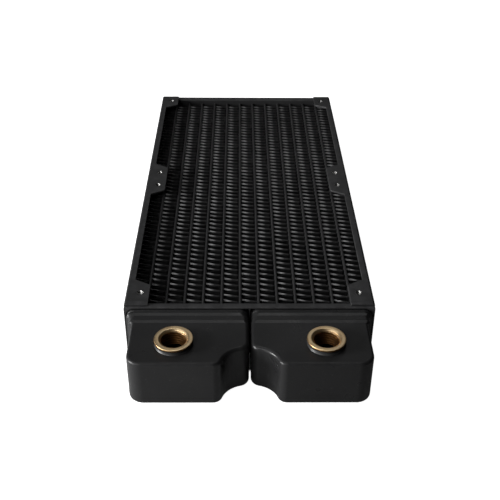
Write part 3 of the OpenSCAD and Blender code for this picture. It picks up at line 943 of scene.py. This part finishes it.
def port(name, node):
    """A painted brass collar with a bare mouth and a thread. Its origin is the middle of the mouth."""
    low, high = box_mm(node)
    cx, cy = (low.x + high.x) / 2, (low.y + high.y) / 2
    top, bottom, outer = high.z, low.z, (high.x - low.x) / 2
    segments = 128
    rows, mats, edge = [], [], []

    def ring(r, z, mat, wear=0.0):
        rows.append(circle(cx, cy, z, r, segments))
        mats.append(mat)
        edge.append(wear)

    ring(PORT_NECK_R - 0.02, bottom, 0)
    ring(PORT_NECK_R - 0.02, TANK_TOP_Z + 0.05, 1)
    # solder fillet and painted collar: (inset from the outside, height over the lid)
    for inset, z in ((0, 0.02), (0.03, 0.16), (0.12, 0.34), (0.34, 0.52), (0.46, 0.75), (0.50, 1.1)):
        ring(outer - inset, TANK_TOP_Z + z, 1, 0.2)
    ring(outer - 0.50, top - 1.05, 1)
    ring(outer - 0.42, top - 0.98, 0)
    # bare brass: (inset from the outside, depth below the mouth) of the side and chamfer
    for inset, z in ((0.06, 0.92), (0, 0.86), (0, 0.42), (0.05, 0.26), (0.16, 0.12), (0.34, 0.03), (0.6, 0)):
        ring(outer - inset, top - z, 0)
    # and (radius beyond the mouth's, depth) of the face and countersink
    for r, z in ((0.5, 0), (0.22, 0.03), (0.05, 0.12), (-0.12, 0.28)):
        ring(PORT_MOUTH_R + r, top - z, 0)
    # thread: a helix cut in the bore with a flat ground, which fades out into the countersink
    depth = PORT_MAJOR_R - PORT_CORE_R
    for z in spread(top - 0.55, bottom + 0.35, 84):
        fade = smooth_step((top - 0.3 - z) / 0.9)
        sink = PORT_CORE_R + max(0.0, z - (top - (PORT_MOUTH_R - PORT_CORE_R))) * 0.92
        rows.append(thread_ring(cx, cy, z, segments, PORT_PITCH, lambda near: max(
            sink, PORT_CORE_R + depth * smooth_step(min(1.0, 1.25 * near)) * fade)))
        mats.append(0)
        edge.append(0)
    ring(PORT_CORE_R + 0.3, bottom, 0)
    shell = Shell()
    shell.grid(rows, close_rows=True, close_cols=True, mat=mats, edge=edge)
    return shell.build(name, [brass, frame_paint], sharp=50, origin=(cx, cy, top), weighted=False)


# ---- fins ----

def box_faces(count, start):
    """Six quads for each of count boxes of eight points."""
    pattern = np.array([(0, 1, 2, 3), (7, 6, 5, 4), (0, 4, 5, 1), (1, 5, 6, 2), (2, 6, 7, 3), (3, 7, 4, 0)])
    return (start + np.arange(count)[:, None, None] * 8 + pattern[None]).reshape(-1, 4)


def fin_strip(name, node, seed):
    """A folded fin: ribbons round the crests, and flanks of slim boxes between them, with louvres. Its
    per-point tone is near 0 under full paint and up to 1 where a highlight is painted on the upper edge."""
    low, high = box_mm(node)
    rng = np.random.default_rng(seed)
    half_t = FIN_T / 2
    y, crest_y = low.y + FIN_START + rng.normal(0, FIN_START_SPREAD), []
    while y < high.y - FIN_END:
        crest_y.append(y)
        stretched = 1 - smooth_step((y - FIN_STRETCH_END) / FIN_STRETCH_FADE)
        y += FIN_HALF_WAVE + FIN_STRETCH * stretched + rng.normal(0, FIN_HALF_WAVE_SPREAD)
    crest_y = np.array(crest_y)
    count = len(crest_y) - 1
    side = np.where(np.arange(count + 1) % 2 == 0, -1.0, 1.0)
    mid_x = (low.x + high.x) / 2
    reach = (high.x - low.x) / 2 - half_t
    crest = np.stack([mid_x + side * reach, crest_y], 1)
    a = crest[:-1] + [0, FIN_CREST_FLAT]
    b = crest[1:] - [0, FIN_CREST_FLAT]
    along = b - a
    length = np.linalg.norm(along, axis=1, keepdims=True)
    along = along / length

    # plain bands and louvres, as (middle's z, half height, tilt)
    normal = np.stack([-along[:, 1], along[:, 0]], 1)
    half_depth, mid_z = (high.z - low.z) / 2, (low.z + high.z) / 2
    per_bank = int((half_depth - LOUVRE_EDGE - LOUVRE_MID) / LOUVRE_PITCH)
    louvre_end = LOUVRE_MID + LOUVRE_PITCH * per_bank
    rest = half_depth - louvre_end
    bands = [(mid_z, LOUVRE_MID, 0.0), (low.z + rest / 2, rest / 2, 0.0),
             ((mid_z + louvre_end + high.z - FIN_HIGHLIGHT_H) / 2, (rest - FIN_HIGHLIGHT_H) / 2, 0.0)]
    for bank in (-1, 1):
        bands += [(mid_z + bank * (LOUVRE_MID + LOUVRE_PITCH * (i + 0.5)), LOUVRE_SHARE * LOUVRE_PITCH,
                   bank * LOUVRE_TILT) for i in range(per_bank)]
    verts, faces, tones = [], [], []
    total = 0

    def boxes(u0, u1, z, half_h, tilt, tone0, tone1):
        """A box on every flank, from share u0 to u1 of its length, with the tones of its two ends."""
        nonlocal total
        sn, cs = sin(radians(tilt)), cos(radians(tilt))
        d = np.concatenate([normal * sn, np.full((count, 1), cs)], 1) * half_h
        e = np.concatenate([normal * cs, np.full((count, 1), -sn)], 1) * half_t * FLANK_T_SHARE
        q0, q1 = [np.concatenate([a + along * length * u, np.full((count, 1), z)], 1) for u in (u0, u1)]
        block = np.stack([q0 - d - e, q0 + d - e, q0 + d + e, q0 - d + e,
                          q1 - d - e, q1 + d - e, q1 + d + e, q1 - d + e], 1)
        verts.append(block.reshape(-1, 3))
        faces.append(box_faces(count, total))
        tones.append(np.stack([tone0, tone1], 1).repeat(4, 1).ravel())
        total += count * 8

    painted = np.clip(rng.normal(PAINT_TONE, PAINT_TONE_SPREAD, count), 0, 1)
    for z, half_h, tilt in bands:
        boxes(FIN_FOLD, 1 - FIN_FOLD, z, half_h, tilt, painted, painted)
    # the painted highlight on the upper edge: every second flank is lightened near the left crest, where
    # light from the front-left falls into the opening, and less towards the rear, where that light falls off
    highlight_z = high.z - FIN_HIGHLIGHT_H
    painted_highlight = np.clip(rng.normal(HIGHLIGHT_TONE, HIGHLIGHT_TONE_SPREAD, count), HIGHLIGHT_TONE_LEAST, 1)
    painted_highlight = np.where(np.arange(count) % 2 == 1, painted_highlight, painted)
    painted_highlight *= np.array([1 - HIGHLIGHT_REAR * smooth_step((y - HIGHLIGHT_REAR_START) / HIGHLIGHT_REAR_RUN)
                      for y in crest_y[:-1]])
    stations = spread(FIN_FOLD, 1 - FIN_FOLD, 5)
    fade = [1 - HIGHLIGHT_FADE * smooth_step((1 - u - HIGHLIGHT_FULL) / HIGHLIGHT_RUN) for u in stations]
    for i in range(len(stations) - 1):
        boxes(stations[i], stations[i + 1], (high.z + highlight_z) / 2, FIN_HIGHLIGHT_H / 2, 0.0,
              painted_highlight * fade[i], painted_highlight * fade[i + 1])

    # ribbons round the crests
    def fold(tip, corner, out):
        """The curve from a flank, which lies outwards of the corner, towards the crest's tip."""
        return [(1 - t) ** 2 * (corner + out * FIN_FOLD_PULL) + 2 * t * (1 - t) * corner + t * t * tip
                for t in (0.0, 0.4, 0.75)]

    levels = (low.z, highlight_z - 0.1, highlight_z, high.z)
    around = len(levels) * 2
    for k, tip in enumerate(crest):
        before, after = [tip - [0, FIN_STUB]], [tip + [0, FIN_STUB]]
        if k > 0:
            before = [a[k - 1] + along[k - 1] * length[k - 1] * (1 - FIN_FOLD)]
            before += fold(tip, b[k - 1], -along[k - 1])
        if k < count:
            after = fold(tip, a[k], along[k])[::-1] + [a[k] + along[k] * length[k] * FIN_FOLD]
        pts = np.array(before + [tip] + after)
        n = len(pts)
        step = np.gradient(pts, axis=0)
        step /= np.linalg.norm(step, axis=1, keepdims=True)
        off = np.stack([-step[:, 1], step[:, 0]], 1) * half_t
        left, right = [np.c_[np.clip(line[:, 0], low.x, high.x), line[:, 1]]
                       for line in (pts + off, pts - off)]
        ring = np.stack([np.c_[left, np.full(n, z)] for z in levels]
                        + [np.c_[right, np.full(n, z)] for z in reversed(levels)], 1)
        verts.append(ring.reshape(-1, 3))
        quads = []
        for i in range(n - 1):
            here = total + around * i
            quads += [(here + c, here + (c + 1) % around, here + around + (c + 1) % around, here + around + c)
                      for c in range(around)]
        for here in (total, total + around * (n - 1)):
            quads += [(here + c, here + c + 1, here + around - 2 - c, here + around - 1 - c)
                      for c in range(len(levels) - 1)]
        faces.append(np.array(quads))
        tone = np.full((n, around), painted[min(k, count - 1)])
        if k > 0 and k % 2 == 0:
            # the painted highlight: the points of its upper band, on both faces
            tone[:len(before), 2:6] = (painted_highlight[k - 1] * np.linspace(1, HIGHLIGHT_CREST, len(before)))[:, None]
        tones.append(tone.ravel())
        total += around * n

    verts = np.concatenate(verts) * MM
    faces = np.concatenate(faces)
    mesh = bpy.data.meshes.new(name)
    mesh.from_pydata(verts.tolist(), [], faces.tolist())
    tone = mesh.attributes.new("tone_and_painted_highlight", "FLOAT", "POINT")
    tone.data.foreach_set("value", np.concatenate(tones))
    mesh.materials.append(fin_paint)
    bm = bmesh.new()
    bm.from_mesh(mesh)
    bmesh.ops.recalc_face_normals(bm, faces=bm.faces)
    bm.to_mesh(mesh)
    bm.free()
    mesh.polygons.foreach_set("use_smooth", [True] * len(mesh.polygons))
    mesh.set_sharp_from_angle(angle=radians(FIN_SHARP))
    obj = bpy.data.objects.new(name, mesh)
    bpy.context.collection.objects.link(obj)
    return obj


# ---- the pieces ----

def place(obj, slot, node):
    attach(obj, "root")
    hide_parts(node)


place(side_rail(-1, "left_rail_sheet"), "frame_paint", "left_side_rail")
place(side_rail(1, "right_rail_sheet"), "frame_paint", "right_side_rail")
place(header_pan("front_pan_tray", FRONT_LOW, FRONT_HIGH, -1, True), "frame_paint", "front_header_pan")
place(header_pan("rear_pan_tray", REAR_LOW, REAR_HIGH, 1, False), "frame_paint", "rear_header_pan")
place(port_tank(-1, "inlet_tank_shell", "inlet_port"), "frame_paint", "inlet_tank")
place(port_tank(1, "outlet_tank_shell", "outlet_port"), "frame_paint", "outlet_tank")
place(return_tank("return_tank_shell"), "frame_paint", "return_tank")
place(port("inlet_port_collar", "inlet_port"), "port_brass", "inlet_port")
place(port("outlet_port_collar", "outlet_port"), "port_brass", "outlet_port")

fin_nodes = sorted(n for n in frame["nodes"] if n.startswith("fin_strip"))
for index, node in enumerate(fin_nodes):
    place(fin_strip(f"fin_coil_{index + 1:02d}", node, FIN_SEED + index), "fin_paint", node)

for node, obj in frame["nodes"].items():
    if node.startswith("flat_tube") or node.endswith("side_plate"):
        for material_slot in obj.material_slots:
            material_slot.material = core_paint


# ---- stage, lights and camera ----

FLOOR_HALF_M = 3.0
FLOOR_DROP_M = 0.0002  # keeps the floor just clear of the part's underside
LIGHT_DISTANCE_M = 1.1
LIGHT_SIZE_M = 0.45
LIGHT_TARGET_M = Vector((0, -0.05, 0))  # from the part's middle
SKY_SEEN, SKY_UNSEEN = 1.0, 0.004  # the white behind everything, and its light on the part
SENSOR_MM, LENS_MM = 36, 59.35
CAMERA_ASIDE_M, CAMERA_BEFORE_M, CAMERA_ABOVE_M = -0.00508, 0.2697, 0.23827   # from the middle, front and top
CAMERA_TURN = (56.038, -0.468, -0.610)  # degrees about X, Y and Z

middle = (cad_low + cad_high) / 2

floor_mesh = bpy.data.meshes.new("studio_floor")
corners = [(x * FLOOR_HALF_M, y * FLOOR_HALF_M, 0) for x, y in ((-1, -1), (1, -1), (1, 1), (-1, 1))]
floor_mesh.from_pydata(corners, [], [(0, 1, 2, 3)])
floor_mesh.materials.append(floor_material())
floor = bpy.data.objects.new("studio_floor", floor_mesh)
floor.location = (middle.x, middle.y, cad_low.z - FLOOR_DROP_M)
bpy.context.collection.objects.link(floor)


def softbox(name, around, up, power, width=LIGHT_SIZE_M):
    """An area light turned to the target. It stands around degrees to the right of the part's front, and up
    degrees above it."""
    data = bpy.data.lights.new(name, "AREA")
    data.shape = "RECTANGLE"
    data.size = width
    data.size_y = LIGHT_SIZE_M
    data.energy = power
    a, e = radians(around), radians(up)
    light = bpy.data.objects.new(name, data)
    light.location = middle + LIGHT_DISTANCE_M * Vector((cos(e) * sin(a), -cos(e) * cos(a), sin(e)))
    light.rotation_euler = (middle + LIGHT_TARGET_M - light.location).to_track_quat("-Z", "Y").to_euler()
    bpy.context.collection.objects.link(light)


softbox("key", -72, 9, 23.0)
softbox("front_fill", -35, 35, 2.6)
softbox("left_top", -75, 60, 0.4)
softbox("overhead", 180, 78, 1.2)
softbox("rear", 175, 37, 0.31, width=0.60)

world = bpy.data.worlds.new("studio")
world.use_nodes = True
nt = world.node_tree
nt.nodes.clear()
unseen, seen = [new_node(nt, "ShaderNodeBackground", {"Color": (1, 1, 1, 1), "Strength": strength})
                for strength in (SKY_UNSEEN, SKY_SEEN)]
by_ray(nt, unseen, seen, nt.nodes.new("ShaderNodeOutputWorld"))
bpy.context.scene.world = world

cam_data = bpy.data.cameras.new("camera")
cam_data.sensor_width = SENSOR_MM
cam_data.lens = LENS_MM
cam = bpy.data.objects.new("camera", cam_data)
cam.location = (middle.x + CAMERA_ASIDE_M, cad_low.y - CAMERA_BEFORE_M, cad_high.z + CAMERA_ABOVE_M)
cam.rotation_euler = Euler([radians(turn) for turn in CAMERA_TURN], "XYZ")
bpy.context.collection.objects.link(cam)
bpy.context.scene.camera = cam

bpy.context.scene.view_settings.view_transform = "Standard"
bpy.context.scene.view_settings.look = "None"
